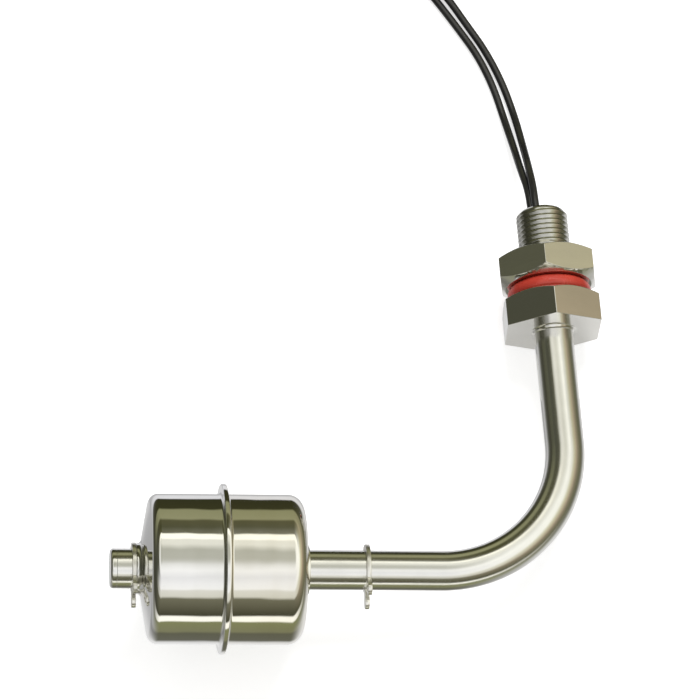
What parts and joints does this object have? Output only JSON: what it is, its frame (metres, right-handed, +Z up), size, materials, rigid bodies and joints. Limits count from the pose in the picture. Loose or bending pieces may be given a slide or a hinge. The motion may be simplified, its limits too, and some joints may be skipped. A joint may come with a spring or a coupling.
{
  "type": "float level switch",
  "caption": "Side-mounted level switch: a flanged float slides on the bent leg of a steel stem between clips; a threaded nipple with seal and nut holds it.",
  "frame": {"origin": "centre of the hexagon's sealing face, on the thread's axis", "axes": "+Y out along the thread, away from the float; +Z up from the surface that the switch lies on; the float's leg points to -X"},
  "size_m": [0.1018, 0.1651, 0.0317],
  "materials": {
    "polished_steel": "polished stainless steel",
    "turned_steel": "turned and polished stainless steel",
    "red_silicone": "smooth silicone",
    "black_lead": "glossy insulation",
    "dark_resin": "cast resin",
    "black_tie": "satin nylon",
    "tinned_copper": "tinned strands",
    "capsule_glass": "clear, slightly green",
    "blade_metal": "rolled nickel iron",
    "ferrite": "sintered",
    "shrink_sleeve": "shrunk tube",
    "sleeve_white": "shrunk tube",
    "collar_plastic": "moulded"
  },
  "bodies": {
    "switch": {"stem_tube": "polished_steel", "tip_plug": "polished_steel", "tip_clip": "turned_steel", "stop_clip": "turned_steel", "mounting_stud": "turned_steel", "seal_ring": "red_silicone", "potting_plug": "dark_resin", "reed_capsule": "capsule_glass", "reed_blade_tip": "blade_metal", "reed_blade_bend": "blade_metal", "reed_sleeve": "sleeve_white", "solder_sleeve_tip": "shrink_sleeve", "solder_sleeve_bend": "shrink_sleeve", "lead_a_inside": "black_lead", "lead_b_inside": "black_lead", "lead_a": "black_lead", "lead_b": "black_lead", "lead_coil": "black_lead", "coil_tie": "black_tie", "lead_a_tail": "black_lead", "lead_b_tail": "black_lead", "lead_end_a": "tinned_copper", "lead_end_b": "tinned_copper"},
    "float": {"float_shell_tip": "polished_steel", "float_shell_bend": "polished_steel", "float_core_tube": "polished_steel", "float_magnet": "ferrite", "magnet_collar_tip": "collar_plastic", "magnet_collar_bend": "collar_plastic"},
    "nut": {"lock_nut": "turned_steel"}
  },
  "joints": [
    {"name": "float_slide", "type": "slide", "parent": "switch", "child": "float", "axis": [0.9955, -0.0489, -0.0814], "range_m": [0, 0.0105]},
    {"name": "nut_slide", "type": "slide", "parent": "switch", "child": "nut", "axis": [0, 1, 0], "range_m": [0, 0.0088]}
  ]
}
